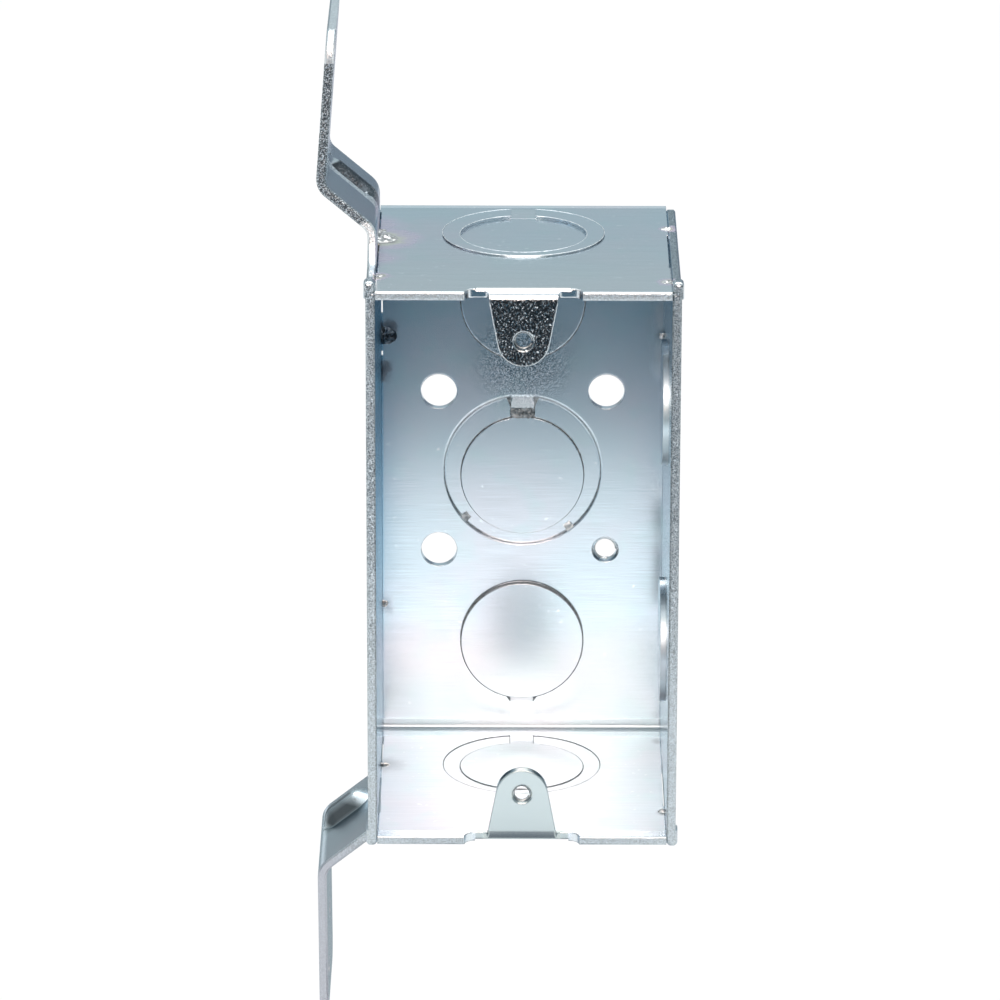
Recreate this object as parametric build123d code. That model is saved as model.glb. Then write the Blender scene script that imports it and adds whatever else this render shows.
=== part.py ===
from build123d import *
import os
from math import cos, radians, sin, tan

# A welded steel handy box with a stud bracket on its left side. All sizes are in millimetres.
# The mouth of the box faces -Y, the bracket is on the -X side and +Z is up.
# The origin lies midway between the two device screw holes, on the front face of the ears.

# Box, outside sizes and sheet
box_width = 53.975
box_height = 101.6
box_depth = 53.975
sheet = 1.6
fold_inside_radius = 0.8
edge_roll = 0.35
edge_break = 0.3

# Seams of the folded sheet and the side plates: they are welded, and stay open in a few slits.
# A slit in the top and bottom walls has its ends' distances from the rim, one in the back from the top.
slit_width = 0.25
left_end_slits = ((11.0, 28.0), (36.0, 48.0))
right_end_slits = ((14.3, 34.0),)
left_back_slits = ((2.8, 20.6), (27.4, 28.6))

# Device ears
device_screw_spacing = 83.3
device_hole_diameter = 3.1
device_hole_chamfer = 0.25
ear_setback = 1.0
ear_root_width = 11.8
ear_end_radius = 4.5
ear_bend_inside_radius = 0.6
ear_flare = 2.3
ear_flare_radius = 1.0
notch_width = 4.2
notch_depth = 2.0
notch_corner_radius = 1.9

# Knockouts: a push is how far a slug stands out of its wall, positive to the outside
half_inch_slug = 22.3
three_quarter_slug = 28.4
shear_gap = 0.08
tab_width = 4.2
tab_root = 0.9
tab_reach = 3.0
tab_slope = 2.65
tie_width = 1.6
tie_reach = 0.6
tie_angle = 45.0
ring_eccentricity = 1.0
single_push = -1.0
back_ring_push = 0.8
back_disc_push = 0.25
back_tab_dip = 0.85
top_ring_push = 0.3
top_disc_push = -0.2
bottom_ring_push = 0.1
bottom_disc_push = -0.05
end_tab_dip = 0.0

# Places of knockouts and holes
back_pattern_rise = 0.7
back_knockout_end_room = 18.3
end_knockout_setback = 19.4
side_knockout_pitch = 44.45
mount_hole_spacing = 30.16
mount_hole_diameter = 6.5
ground_hole_diameter = 4.1
ground_hole_chamfer = 0.4

# Side plates
plate_rear_radius = 5.0
plate_front_radius = 0.8
upper_upset_rise = 1.7
lower_upset_rise = 0.3
upset_swell = 0.35
upset_height = 3.0
upset_depth = 3.2
upset_radius = 0.8

# Bracket arms
arm_width = 28.0
arm_rear_room = 8.0
arm_reach = 40.5
upper_neck_rise = 5.6
lower_neck_rise = 4.7
neck_flat = 0.5
neck_front_fillet = 4.0
slant_rise = 7.55
upper_offset = 8.9
lower_offset = 9.5
upper_lean = 4.3
lower_lean = 0.4
arm_bend_inside_radius = 2.4
flange_corner_radius = 4.0
nail_hole_diameter = 4.4
nail_holes = ((6.0, 6.6), (15.0, 14.2))

# Bead across each arm's slant, a groove on the side of the box
bead_place = 18.1
bead_width = 7.7
bead_length = 4.4
bead_slope = 45.0
bead_lip_radius = 2.4
bead_floor_radius = 1.2

# Places that follow from the sizes above
rim_y = -ear_setback
back_y = rim_y + box_depth
half_height = box_height / 2
plate_inner_x = box_width / 2 - sheet
back_knockout_pitch = half_height - back_knockout_end_room
ear_bend_radius = ear_bend_inside_radius + sheet
arm_front_y = back_y - arm_rear_room - arm_width
neck_rear_fillet = arm_rear_room - plate_rear_radius - neck_flat
bead_turn = (bead_lip_radius + bead_floor_radius) * sin(radians(bead_slope))
bead_flank = (bead_width / 2 - bead_turn) / cos(radians(bead_slope))

# How far a cutting tool runs past the sheet, and how near a corner lies to be picked
cut_margin = 2.0
pick_margin = 0.1


def wall_plane(place, outward, tab_way):
    """Frame of a knockout: on the wall's inner face, Z to the outside, Y towards the tab."""
    return Plane(origin=place, x_dir=Vector(*tab_way).cross(Vector(*outward)), z_dir=outward)


def tab_strip(levels):
    """Joggled tab between a slug and its wall, along (distance, level) points of its inner face."""
    outer_face = [(distance, level + sheet) for distance, level in reversed(levels)]
    section = make_face(Polyline(levels + outer_face, close=True))
    return extrude(Plane.YZ * section, tab_width / 2, both=True)


def slug_opening(radius, root):
    """Round opening with the slot that the tab comes out of, which runs past the rim by the root."""
    bore = Pos(0, 0, sheet / 2) * Cylinder(radius, sheet + 2 * cut_margin)
    slot_length = radius + root
    slot = Box(tab_width + 2 * shear_gap, slot_length, sheet + 2 * cut_margin)
    return bore + Pos(0, slot_length / 2, sheet / 2) * slot


def slug(radius):
    return Pos(0, 0, sheet / 2) * Cylinder(radius, sheet)


def single_knockout(wall, plane):
    """Shear one slug out of a wall, pushed in and hanging on its tab."""
    radius = half_inch_slug / 2
    tab = tab_strip([(radius + tab_root, 0), (radius - tab_reach, single_push)])
    disc = Pos(0, 0, single_push) * slug(radius - shear_gap)
    return wall - plane * slug_opening(radius, tab_root) + plane * (disc + tab)


def concentric_knockout(wall, plane, ring_push, disc_push, tab_dip):
    """Shear a ring and an eccentric disc inside it. The disc hangs on the tab and the ring on two ties."""
    ring_radius = three_quarter_slug / 2
    disc_radius = half_inch_slug / 2
    disc_edge = disc_radius - ring_eccentricity
    tab = tab_strip([
        (ring_radius + tab_root, 0),
        (ring_radius, 0),
        (ring_radius - tab_slope, tab_dip),
        (disc_edge, disc_push),
        (disc_edge - tab_reach, disc_push),
    ])
    slot = Box(tab_width + 2 * shear_gap, ring_radius, sheet + 2 * cut_margin)
    ring = slug(ring_radius - shear_gap) - Pos(0, ring_radius / 2, sheet / 2) * slot
    ring = Pos(0, 0, ring_push) * (ring - Pos(0, -ring_eccentricity) * slug(disc_radius))
    disc = Pos(0, -ring_eccentricity, disc_push) * slug(disc_radius - shear_gap)
    tie = Pos(ring_radius, 0, (ring_push + sheet) / 2) * Box(2 * tie_reach, tie_width, sheet - ring_push)
    ties = [Rot(0, 0, angle) * tie for angle in (-90 - tie_angle, -90 + tie_angle)]
    return wall - plane * slug_opening(ring_radius, 0) + plane * (disc + tab) + plane * (ring + ties)


def sunk_hole(diameter, sink, x, middle_y, z):
    """Round hole along Y through a sheet, with a sunk rim on the side of the mouth."""
    radius = diameter / 2
    drill = Cylinder(radius, sheet + 2 * cut_margin)
    drill += Pos(0, 0, (sheet - sink) / 2) * Cone(radius, radius + sink, sink)
    return Pos(x, middle_y, z) * Rot(90, 0, 0) * drill


def ear_root():
    """Root of the upper ear: runs out into the notch on each side with a round corner."""
    notch_end = rim_y + notch_depth
    stem = Rectangle(ear_root_width, 2 * notch_end)
    head_depth = ear_bend_radius + sheet - notch_end
    head = Pos(0, notch_end + head_depth / 2) * Rectangle(ear_root_width + 2 * ear_flare, head_depth)
    plan = stem + head
    corners = plan.vertices().filter_by_position(Axis.Y, notch_end - pick_margin, notch_end + pick_margin)
    plan = fillet(corners.sort_by(Axis.X)[1:-1], ear_flare_radius)
    return Pos(0, 0, half_height - sheet) * extrude(plan, sheet)


def device_ear():
    """Upper ear: bent down from the top wall, flared at its root, tapered and round at its end."""
    hole_z = device_screw_spacing / 2
    bend = FilletPolyline(
        (ear_bend_radius + sheet, half_height - sheet / 2),
        (sheet / 2, half_height - sheet / 2),
        (sheet / 2, hole_z - ear_end_radius - cut_margin),
        radius=ear_bend_inside_radius + sheet / 2,
    )
    strip = extrude(Plane.YZ * trace(bend, sheet), ear_root_width / 2 + ear_flare, both=True)
    root_z = half_height - ear_bend_radius
    root = Pos(0, (half_height + root_z) / 2) * Rectangle(ear_root_width, half_height - root_z)
    end = Pos(0, hole_z) * Circle(ear_end_radius)
    outline = make_hull((root + end).edges())
    ear = strip & (extrude(Plane.XZ * outline, box_depth, both=True) + ear_root())
    return ear - sunk_hole(device_hole_diameter, device_hole_chamfer, 0, sheet / 2, hole_z)


def ear_cut():
    """Part of the top wall that gives way to the ear and to the relief notch on each side of it."""
    mouth_width = ear_root_width + 2 * notch_width
    mouth = Pos(0, rim_y + notch_depth / 2) * Rectangle(mouth_width, notch_depth)
    mouth = fillet(mouth.vertices().group_by(Axis.Y)[-1], notch_corner_radius)
    root_depth = ear_bend_radius - rim_y
    root = Pos(0, rim_y + root_depth / 2) * Rectangle(ear_root_width + 2 * ear_flare, root_depth)
    return Pos(0, 0, half_height - sheet) * extrude(mouth + root, sheet)


def seam_slits():
    """Open stretches of the seams along the folded sheet's two edges."""
    x = plate_inner_x - slit_width / 2
    wall_z = half_height - sheet / 2
    depth = sheet + 2 * cut_margin
    slits = []
    for side, places in ((-1, left_end_slits), (1, right_end_slits)):
        for near, far in places:
            slit = Pos(side * x, rim_y + (near + far) / 2) * Box(slit_width, far - near, depth)
            slits += [Pos(0, 0, way * wall_z) * slit for way in (-1, 1)]
    for near, far in left_back_slits:
        slit = Box(slit_width, depth, far - near)
        slits.append(Pos(-x, back_y - sheet / 2, half_height - (near + far) / 2) * slit)
    return slits


def round_hole(diameter, x, z):
    return Pos(x, back_y - sheet / 2, z) * Rot(90, 0, 0) * Cylinder(diameter / 2, sheet + 2 * cut_margin)


def make_wrapper():
    """Top, back and bottom walls, folded from one strip, with the ears and the knockouts."""
    middle = sheet / 2
    fold = FilletPolyline(
        (rim_y, half_height - middle),
        (back_y - middle, half_height - middle),
        (back_y - middle, middle - half_height),
        (rim_y, middle - half_height),
        radius=fold_inside_radius + middle,
    )
    body = extrude(Plane.YZ * trace(fold, sheet), plate_inner_x, both=True)
    body = fillet(body.edges().filter_by(Axis.X).group_by(Axis.Y)[0], edge_roll)
    for turn in (0, 180):
        body -= Rot(0, turn, 0) * ear_cut()
        body += Rot(0, turn, 0) * device_ear()
    body -= seam_slits()

    back_face = back_y - sheet
    behind = (0, 1, 0)
    above = (0, 0, 1)
    below = (0, 0, -1)
    for way, tab_way in ((1, above), (-1, below)):
        height = back_pattern_rise + way * back_knockout_pitch
        body = single_knockout(body, wall_plane((0, back_face, height), behind, tab_way))
    middle_plane = wall_plane((0, back_face, back_pattern_rise), behind, above)
    body = concentric_knockout(body, middle_plane, back_ring_push, back_disc_push, back_tab_dip)
    for way, outward, ring_push, disc_push in (
        (1, above, top_ring_push, top_disc_push),
        (-1, below, bottom_ring_push, bottom_disc_push),
    ):
        place = (0, back_y - end_knockout_setback, way * (half_height - sheet))
        end_plane = wall_plane(place, outward, behind)
        body = concentric_knockout(body, end_plane, ring_push, disc_push, end_tab_dip)

    half_spacing = mount_hole_spacing / 2
    for x, way in ((-half_spacing, 1), (half_spacing, 1), (-half_spacing, -1)):
        body -= round_hole(mount_hole_diameter, x, back_pattern_rise + way * half_spacing)
    ground_z = back_pattern_rise - half_spacing
    middle_y = back_y - sheet / 2
    return body - sunk_hole(ground_hole_diameter, ground_hole_chamfer, half_spacing, middle_y, ground_z)


def plate_outline():
    outline = Pos((rim_y + back_y) / 2, 0) * Rectangle(box_depth, box_height)
    outline = fillet(outline.vertices().group_by(Axis.X)[-1], plate_rear_radius)
    return fillet(outline.vertices().group_by(Axis.X)[0], plate_front_radius)


def corner_upset(side, rise):
    """Metal squeezed up and out at a plate's front corner by the corner weld."""
    width = sheet + upset_swell
    block = Box(width, upset_depth, upset_height)
    open_edges = block.edges().filter_by(Axis.Z) + block.edges().group_by(Axis.Z)[-1]
    block = fillet(open_edges, upset_radius)
    x = side * (plate_inner_x + width / 2)
    return Pos(x, rim_y + upset_depth / 2, half_height + rise - upset_height / 2) * block


def corner_upsets(side):
    lower = mirror(corner_upset(side, lower_upset_rise), Plane.XY)
    return corner_upset(side, upper_upset_rise) + lower


def break_edges(plate):
    """Take the sharp edge off a plate. From the front edges it runs on round the smooth outline."""
    front = plate.edges().filter_by(Axis.Z).group_by(Axis.Y)[0]
    return chamfer(front, edge_break)


def make_side_plate():
    """Right plate, with two knockouts."""
    plate = Pos(plate_inner_x, 0, 0) * extrude(Plane.YZ * plate_outline(), sheet)
    plate = break_edges(plate) + corner_upsets(1)
    for way in (-1, 1):
        place = (plate_inner_x, (rim_y + back_y) / 2, way * side_knockout_pitch / 2)
        plate = single_knockout(plate, wall_plane(place, (1, 0, 0), (0, 1, 0)))
    return plate


def bead_half(lip_radius, floor_radius, level, closing_level):
    """Half of a bead's cross-section: its surface from the rim to the middle, closed at another level."""
    rim = Vector(bead_width / 2, level)
    lip = JernArc(rim, (-1, 0), lip_radius, bead_slope)
    flank = PolarLine(lip @ 1, bead_flank, direction=lip % 1)
    floor = JernArc(flank @ 1, flank % 1, floor_radius, -bead_slope)
    closing = Polyline(floor @ 1, (0, closing_level), (rim.X, closing_level), rim)
    return make_face(Wire([lip, flank, floor] + closing.edges()))


def bead_solid(half):
    """Bead from half of its cross-section: drawn out along the slant and turned round at both ends."""
    whole = half + mirror(half, Plane.YZ)
    turned = Pos(0, 0, -bead_length / 2) * revolve(half, Axis.Y, 180)
    return extrude(whole, bead_length / 2, both=True) + turned + Rot(0, 180, 0) * turned


def bracket_outline():
    """Bracket plate seen from its side: the plate, both arms and the fillets where they leave it."""
    outline = plate_outline()
    arm_height = 2 * (half_height + arm_reach)
    arms = Rectangle(arm_width, arm_height)
    arms = fillet(arms.vertices(), flange_corner_radius)
    outline += Pos(arm_front_y + arm_width / 2, 0) * arms
    arm_rear_y = arm_front_y + arm_width
    for corner_y, radius in ((arm_front_y, neck_front_fillet), (arm_rear_y, neck_rear_fillet)):
        near_y = (corner_y - pick_margin, corner_y + pick_margin)
        reach = half_height + pick_margin
        corners = outline.vertices().filter_by_position(Axis.X, *near_y)
        outline = fillet(corners.filter_by_position(Axis.Y, -reach, reach), radius)
    return outline


def bracket_arm(neck_rise, offset, lean):
    """Upper arm, wider than its outline: neck, slant with its bead, and flange with its nail holes."""
    x = -plate_inner_x - sheet / 2
    foot = Vector(x, half_height)
    first = foot + Vector(0, neck_rise)
    second = first + Vector(-offset, slant_rise)
    flange_way = Vector(tan(radians(lean)), 1)
    flange_length = arm_reach - neck_rise - slant_rise
    tip = second + flange_way * flange_length
    line = FilletPolyline(foot, first, second, tip, radius=arm_bend_inside_radius + sheet / 2)
    arm = extrude(Plane.XZ * trace(line, sheet), 2 * box_depth, both=True)

    # The bead's ridge stays within the flange's outer face
    along = (second - first).normalized()
    centre = (first + second) / 2 + Vector(along.Y, -along.X) * sheet / 2
    place = Plane(
        origin=(centre.X, arm_front_y + bead_place, centre.Y),
        x_dir=(0, 1, 0),
        z_dir=(-along.X, 0, -along.Y),
    )
    ridge = bead_half(bead_lip_radius - sheet, bead_floor_radius + sheet, -sheet, -sheet / 2)
    groove = bead_half(bead_lip_radius, bead_floor_radius, 0, sheet / 2)
    outer_tip = tip - Vector(sheet / 2 / cos(radians(lean)), 0)
    outer_foot = outer_tip - flange_way * arm_reach
    outside = make_face(Polyline(foot, first, second, tip, outer_tip, outer_foot, close=True))
    arm += place * bead_solid(ridge) & extrude(Plane.XZ * outside, 2 * box_depth, both=True)
    arm -= place * bead_solid(groove)

    for from_front, from_tip in nail_holes:
        flange_point = tip - flange_way * from_tip
        spot = Pos(flange_point.X, arm_front_y + from_front, flange_point.Y)
        drill = Rot(0, 90, 0) * Cylinder(nail_hole_diameter / 2, sheet + 2 * cut_margin)
        arm -= spot * Rot(0, lean, 0) * drill
    return arm


def make_bracket_plate():
    """Left plate and both bracket arms, cut and folded from one sheet."""
    outline = extrude(Plane.YZ * bracket_outline(), box_width, both=True)
    plate = Pos(-plate_inner_x - sheet, 0, 0) * extrude(Plane.YZ * plate_outline(), sheet)
    plate += bracket_arm(upper_neck_rise, upper_offset, upper_lean) & outline
    plate += mirror(bracket_arm(lower_neck_rise, lower_offset, lower_lean), Plane.XY) & outline
    return break_edges(plate) + corner_upsets(-1)


os.makedirs("parts", exist_ok=True)
export_step(make_wrapper(), "parts/wrapper.step")
export_step(make_bracket_plate(), "parts/bracket_plate.step")
export_step(make_side_plate(), "parts/side_plate.step")
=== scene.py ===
import math

import bmesh
import bpy
from mathutils import Matrix, Vector, noise


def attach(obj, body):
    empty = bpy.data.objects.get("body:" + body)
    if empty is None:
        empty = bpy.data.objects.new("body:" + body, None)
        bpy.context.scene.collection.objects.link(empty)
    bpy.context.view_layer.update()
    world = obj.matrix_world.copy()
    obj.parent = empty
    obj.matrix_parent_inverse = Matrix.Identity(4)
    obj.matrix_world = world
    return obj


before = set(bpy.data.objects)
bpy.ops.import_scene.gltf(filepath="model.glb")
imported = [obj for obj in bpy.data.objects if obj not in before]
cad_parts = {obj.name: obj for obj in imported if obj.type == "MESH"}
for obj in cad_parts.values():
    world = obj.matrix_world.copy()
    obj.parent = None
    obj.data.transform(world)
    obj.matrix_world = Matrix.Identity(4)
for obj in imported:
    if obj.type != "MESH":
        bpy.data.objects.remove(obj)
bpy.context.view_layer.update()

# Sizes are in millimetres where a name ends in _MM, and in metres elsewhere, in the part's frame:
# the mouth faces -Y, the bracket is on the -X side and +Z is up.
MM = 0.001

# The photograph's camera
CAMERA_PLACE = Vector((-0.00244, -1.00912, 0.36447))
CAMERA_TARGET = Vector((-0.00396, -0.001, 0.01334))
CAMERA_ROLL = math.radians(0.13)
CAMERA_LENS = 223.17
CAMERA_SENSOR = 36.0

# The studio: floor, lamps and the cards that the metal mirrors
FLOOR_HEIGHT = -0.30
FLOOR_RADIUS = 6.0
FLOOR_COLOR = (0.86, 0.86, 0.86, 1.0)
FLOOR_WHITENESS = 0.90
FLOOR_GLOW = 1.04
WORLD_COLOR = (0.58, 0.66, 0.69, 1.0)
DARK_GREY = (0.031, 0.099, 0.150, 1.0)
SLATE_GREY = (0.20, 0.23, 0.27, 1.0)
MIDDLE_GREY = (0.32, 0.35, 0.36, 1.0)
PALE_GREY = (0.72, 0.75, 0.76, 1.0)
LILAC_GREY = (0.40, 0.40, 0.47, 1.0)
KEY_COLOR = (1.0, 0.80, 0.70)
LAMP_WHITE = (1.0, 1.0, 1.0)
OBJECT_MIDDLE = Vector((-0.005, 0.025, 0.0))
# Cards: name, two corners and colour
CARDS = (
    ("front_card", (-0.7, -0.45, -0.29), (0.7, -0.45, 0.18), DARK_GREY),
    ("rear_left_card", (-0.9, 0.75, -0.08), (0.0, 0.75, 0.14), MIDDLE_GREY),
    ("rear_right_card", (0.12, 0.75, -0.08), (0.9, 0.75, 0.28), SLATE_GREY),
    ("right_card", (0.45, -0.45, 0.0), (0.45, 0.80, 0.80), DARK_GREY),
    ("low_card", (-0.3, 0.22, -0.20), (0.2, 0.60, -0.20), MIDDLE_GREY),
    ("far_card", (-0.02, 0.75, -0.29), (0.12, 0.75, -0.08), LILAC_GREY),
    ("near_card", (-0.2, -0.13, -0.11), (0.2, 0.02, -0.11), PALE_GREY),
    ("ear_card", (-0.012, -0.13, -0.105), (0.012, 0.02, -0.105), SLATE_GREY),
)
# Softboxes: name, place, target, width, height, power and colour
LAMPS = (
    ("key_softbox", (0.0, -0.93, 0.50), OBJECT_MIDDLE, 0.9, 0.70, 13.5, KEY_COLOR),
    ("top_softbox", (0.0, 0.15, 1.2), OBJECT_MIDDLE, 1.8, 1.4, 18.0, LAMP_WHITE),
    ("fill_softbox", (0.0, -0.1775, -0.10), Vector((0.0, -0.1775, 0.0)), 0.7, 0.125, 0.435, LAMP_WHITE),
)

# Zinc plating with its clear chromate
ZINC_BLUE = (0.65, 0.725, 0.765, 1.0)
ZINC_PINK = (0.715, 0.715, 0.758, 1.0)
ZINC_TEAL = (0.62, 0.735, 0.75, 1.0)
ZINC_GRAZING = (0.72, 0.81, 0.87, 1.0)
ZINC_WARM = (0.77, 0.775, 0.77, 1.0)
# Painted shade on the upper ear: its dark base stands in for the dark surroundings that it mirrors, with pale
# flecks in it
UPPER_EAR_SHADE = (0.06, 0.065, 0.07, 1.0)
UPPER_EAR_FLECK = (0.42, 0.45, 0.47, 1.0)
# Painted shade and light on the lower ear: its front is toned down, and its back is painted pale in place of
# light from the bright back wall
LOWER_EAR_SHADE = (0.47, 0.52, 0.52, 1.0)
STRIP_BLUE = (0.44, 0.60, 0.70, 1.0)
STRIP_GRAZING = (0.05, 0.32, 0.50, 1.0)
SPECK_PALE = (0.86, 0.89, 0.90, 1.0)
EDGE_DARK = (0.10, 0.125, 0.14, 1.0)
EDGE_SOFT = (0.38, 0.42, 0.43, 1.0)
# Painted shade on the arms' sheared edges, in place of the dark surroundings that they mirror
ARM_EDGE_SHADE = (0.04, 0.05, 0.06, 1.0)
EDGE_PALE = (0.60, 0.66, 0.70, 1.0)
# Painted shade in the upper bead's groove and on the lower bead
GROOVE_SHADE = (0.07, 0.08, 0.09, 1.0)
LOW_BEAD_SHADE = (0.14, 0.16, 0.175, 1.0)
LOW_BEAD_DEEP_SHADE = (0.03, 0.035, 0.04, 1.0)
LOW_EDGE_LILAC = (0.45, 0.46, 0.51, 1.0)
# Dark of torn metal, also used for the painted shadows beside the tabs and the painted shade in the back's
# shear gaps
TORN_AND_SHADE_DARK = (0.08, 0.10, 0.11, 1.0)
TORN_PALE = (0.30, 0.34, 0.36, 1.0)
WELD_DULL = (0.36, 0.345, 0.335, 1.0)
WELD_PALE = (0.80, 0.80, 0.79, 1.0)
NUGGET_DARK = (0.05, 0.07, 0.09, 1.0)
NUGGET_PALE = (0.16, 0.18, 0.20, 1.0)

# Sizes of the solids that the added pieces follow, in millimetres
BACK_INNER_MM = 51.375
END_INNER_MM = 49.2
PLATE_INNER_MM = 25.3875
PATTERN_RISE_MM = 0.7
SINGLE_PITCH_MM = 32.5
SIDE_PITCH_MM = 44.45
END_KNOCKOUT_Y_MM = 33.575
SIDE_KNOCKOUT_Y_MM = 25.9875
DISC_RADIUS_MM = 11.15
RING_RADIUS_MM = 14.2
DISC_SHIFT_MM = -1.0
TOP_RING_LEVEL_MM = 1.90
SINGLE_PUSH_MM = -1.0
TAB_HALF_MM = 2.1
TAB_ROOT_MM = 0.9
DEVICE_HOLE_Z_MM = 41.65
DEVICE_HOLE_RADIUS_MM = 1.55
GROUND_HOLE_MM = (15.08, -14.38)
GROUND_HOLE_RADIUS_MM = 2.05
SCREW_PITCH_MM = 0.794
SPLASH_END_MM = 25.9

# Ways that a wall or a knockout's tab looks
BEHIND = (0, 1, 0)
ABOVE = (0, 0, 1)
BELOW = (0, 0, -1)
AHEAD = (0, -1, 0)
RIGHT = (1, 0, 0)

# Angles of the ties that hold the middle ring, in degrees
TIE_ANGLES = (232.0, 318.5)

# Burrs of a concentric knockout: their level, their thickness and the torn metal's level, in millimetres
MIDDLE_BURRS_MM = (0.80, 0.11, 1.2)
BOTTOM_BURRS_MM = (0.0, 0.05, 0.15)
TOP_BURRS_MM = (1.86, 0.11, 1.32)

# Other small sizes of the burrs, torn metal and threads, in millimetres
GAP_FILL_LEVEL_MM = 0.3
SLOT_FILL_LEVEL_MM = 0.5
SLOT_OVERLAP_MM = 0.3
RIM_BURR_RISE_MM = 0.15
TAB_CAP_OVERLAP_MM = 0.2
RING_CLEARANCE_MM = 0.1
SHEAR_FILL_HALF_MM = 0.25
FOIL_HALF_MM = 0.03
BACK_BURR_MM = 0.10
RIM_BURR_MM = 0.12
SIDE_BURR_MM = 0.08
TAB_CAP_LEVELS_MM = (1.30, 1.40)
TAB_CAP_START_MM = 9.8
# Dark plates beside the middle and lower tabs, which are painted shadows: corners from the tab's side, and
# their levels
MIDDLE_TAB_SHADOWS_MM = ((0.0, 14.0), (0.85, 13.75), (0.3, 12.4), (0.0, 11.4))
MIDDLE_TAB_SHADOW_LEVELS_MM = (0.72, 1.0)
LOW_TAB_SHADOWS_MM = ((0.0, 12.1), (0.25, 11.9), (0.9, 10.8), (0.0, 10.9))
LOW_TAB_SHADOW_LEVELS_MM = (-0.04, 0.2)
EAR_THREAD_START_MM = 0.55
EAR_THREAD_LENGTH_MM = 0.75
GROUND_THREAD_START_MM = 0.65
GROUND_THREAD_LENGTH_MM = 0.65
THREAD_DEPTH_MM = 0.26
THREAD_FOOT_MM = 0.30
THREAD_ROOT_MM = 0.05

# Parts of the sheets that look different, as boxes between two corners in millimetres
UPPER_EAR_MM = ((-8.0, -0.3, 36.0), (8.0, 1.7, 49.0))
LOWER_EAR_MM = ((-8.0, -0.3, -51.0), (8.0, 1.7, -36.0))
# The upper bead's lip is painted with a highlight, and its groove and the lower bead with shade
BEAD_LIP_MM = ((-36.0, 29.5, 55.0), (-25.0, 32.8, 65.0))
BEAD_GROOVE_MM = ((-36.0, 33.1, 55.0), (-25.0, 38.9, 62.5))
LOW_BEAD_MM = ((-37.0, 34.5, -61.5), (-25.0, 38.6, -55.5))
NECK_MM = ((-28.0, 8.0, 50.8), (-25.0, 17.6, 57.5))
INNER_STRIP_MM = ((-25.6, 0.0, -49.0), (-25.2, 52.0, 49.0))
BOTTOM_WALL_MM = ((-25.0, 2.0, -50.0), (25.0, 47.0, -48.5))
BOX_FADE_MM = 0.3
SPECKLED_MIDDLE_MM = (0.0, BACK_INNER_MM, 23.0)
FOLD_Y_MM = 49.4
TOP_Z_MM = 50.5
FLANGE_END_Z_MM = 86.0
RIM_Y_MM = -0.5
MOUTH_Y_MM = 2.0

# Stretches over which a look comes or goes, from and to, in millimetres
SPECKLED_REACH_MM = (3.0, 12.0)
# Where the painted line of shade on the lower bead starts and stops
LOW_LINE_START_Y_MM = (29.5, 32.0)
LOW_LINE_STOP_Y_MM = (33.0, 36.0)
LOW_LINE_START_Z_MM = (-62.5, -60.5)
LOW_LINE_STOP_Z_MM = (-57.0, -55.0)
LOW_FLANGE_Z_MM = (-62.0, -56.0)
LOW_ARM_Z_MM = (-58.0, -55.0)
UPPER_ARM_Z_MM = (55.0, 58.0)
FOLD_Z_MM = (47.2, 47.6)
STRIP_Z_MM = (-40.0, 10.0)
WARM_Y_MM = (5.0, 32.0)
DARK_EDGE_Z_MM = (-30.0, 10.0)
RIGHT_PLATE_X_MM = (24.0, 25.0)

# Radii of the sheets' rolled edges, and where they change, in millimetres
PLATE_ROLL_MM = 0.2
RING_ROLLS_MM = (0.3, 0.8)
RING_ROLL_Z_MM = (-2.0, 8.0)
RING_BAND_MM = (0.8, 1.2)
BACK_ROLLS_MM = (0.18, 0.35)
BACK_ROLL_Z_MM = (14.0, 18.0)
WALL_ROLLS_MM = (0.4, 0.12)
WALL_ROLL_Y_MM = (14.0, 16.0)
BACK_Y_MM = 50.0

# Fineness of the metal's patterns, in grains per metre
GRAIN_FINENESS = 4200.0
CLOUD_FINENESS = 38.0
BLOTCH_FINENESS = 140.0
SPECK_FINENESS = 760.0
FLECK_FINENESS = (2900.0, 2900.0, 2000.0)
FACET_FINENESS = 6000.0
WANDER_FINENESS = 420.0
RAGGED_FINENESS = 1500.0
STREAKS_ACROSS = (110.0, 8000.0, 8000.0)
STREAKS_UP = (8000.0, 8000.0, 110.0)

# Roughness that a part adds to plain sheet, and the tilt of its crystal facets
ADDED_ROUGHNESS = {"edge": 0.14, "fold": 0.20, "bottom": 0.20, "low_bead_shade": 0.35, "marked": 0.12}
SPARKLE = {
    "glint": 0.32, "upper_ear": 0.35, "groove": 0.45, "lip": 0.60, "speckled": 0.05, "marked": 0.15,
}

# Molten metal at the welds: place, outward way, reach and height, in millimetres
SPLASHES_MM = (
    ((-24.6, 30.6, 50.75), ABOVE, 3.0, 0.45),
    ((-25.2, 35.0, 50.75), ABOVE, 1.5, 0.30),
    ((-24.6, 8.2, 50.75), ABOVE, 0.8, 0.20),
    ((25.2, 36.8, 50.75), ABOVE, 1.1, 0.45),
    ((24.4, 5.0, 50.75), ABOVE, 1.3, 0.25),
    ((25.0, 51.4, 26.4), AHEAD, 0.7, 0.30),
    ((-25.0, 51.4, -25.0), AHEAD, 0.8, 0.30),
    ((-25.0, 33.0, -49.25), ABOVE, 1.5, 0.30),
    ((25.0, 10.6, -49.25), ABOVE, 0.9, 0.40),
)
# Dark weld nugget in the back's left corner, of the same form
NUGGET_MM = ((-24.6, 51.4, 26.2), AHEAD, 1.9, 1.00)

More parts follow.
